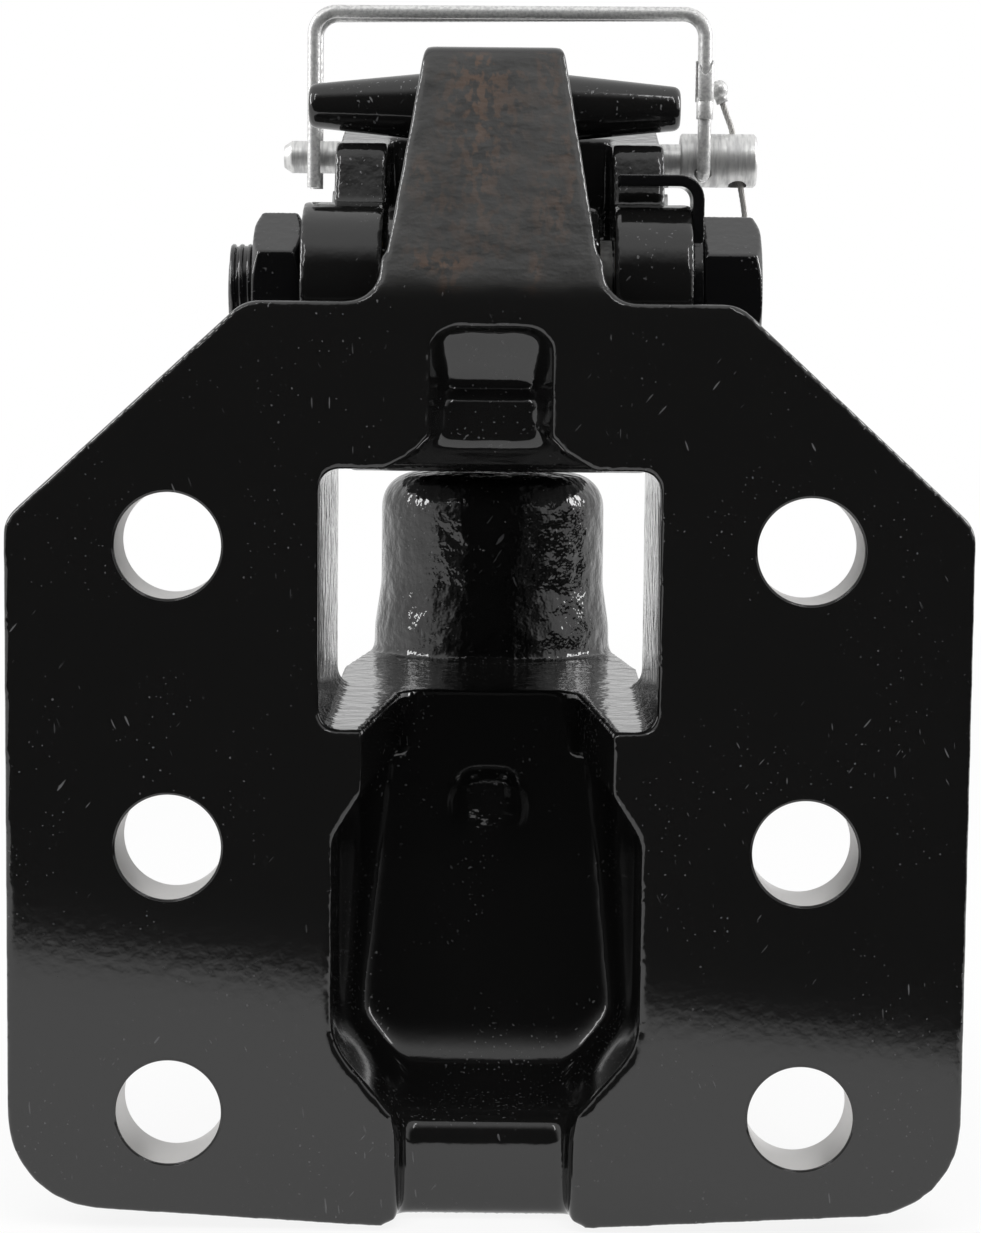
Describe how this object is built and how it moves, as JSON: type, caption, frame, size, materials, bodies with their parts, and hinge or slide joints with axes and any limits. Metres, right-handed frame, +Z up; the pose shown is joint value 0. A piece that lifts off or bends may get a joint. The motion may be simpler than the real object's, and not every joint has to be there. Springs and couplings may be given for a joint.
{
  "type": "pintle hook",
  "caption": "Rigid-mount pintle hook with bolt flange, upright horn and hinged upper jaw, locked by a T-handled lever and a tethered lock pin with a wire bail.",
  "frame": {"origin": "centre of the four corner bolt holes, on the rear mounting face", "axes": "+X to the right seen from the mounting face, +Y forward from the mounting face towards the horn, +Z up"},
  "size_m": [0.192, 0.1748, 0.2518],
  "materials": {
    "black_casting": "gloss black paint on a casting",
    "black_fastener": "gloss black paint",
    "zinc": "bright zinc plating",
    "steel": "bare machined steel",
    "bush_bronze": "bearing bronze"
  },
  "bodies": {
    "body": {"hook_body": "black_casting", "pivot_bush": "bush_bronze"},
    "jaw": {"upper_jaw": "black_casting", "pivot_bolt": "black_fastener", "pivot_nut": "black_fastener", "keeper_plate": "black_fastener", "thrust_washer": "steel", "lever_pin": "steel", "lever_pin_rings": "steel", "lever_spring": "steel", "tether_ferrule": "zinc"},
    "lever": {"lock_lever": "black_casting"},
    "pin": {"lock_pin": "zinc", "tether_cable": "steel", "tether_ball": "zinc"},
    "bail": {"pin_bail": "zinc", "bail_strand": "zinc", "bail_sleeve": "zinc"}
  },
  "joints": [
    {"name": "jaw_hinge", "type": "hinge", "parent": "body", "child": "jaw", "pos_m": [0, 0.04, 0.107], "axis": [1, 0, 0], "range_deg": [0, 50]},
    {"name": "lever_hinge", "type": "hinge", "parent": "jaw", "child": "lever", "pos_m": [0, 0.1, 0.125], "axis": [-1, 0, 0], "range_deg": [0, 50], "deforming": ["lever_spring"]},
    {"name": "pin_slide", "type": "slide", "parent": "jaw", "child": "pin", "axis": [1, 0, 0], "range_m": [0, 0.07]},
    {"name": "bail_hinge", "type": "hinge", "parent": "pin", "child": "bail", "pos_m": [0.047, 0.105, 0.1341], "axis": [0, 1, 0], "range_deg": [0, 170.5]}
  ],
  "couplings": [
    {"joint": "lever_hinge", "follows": "jaw_hinge", "ratio": 1},
    {"joint": "bail_hinge", "follows": "pin_slide", "rad_per_m": 42.4}
  ]
}
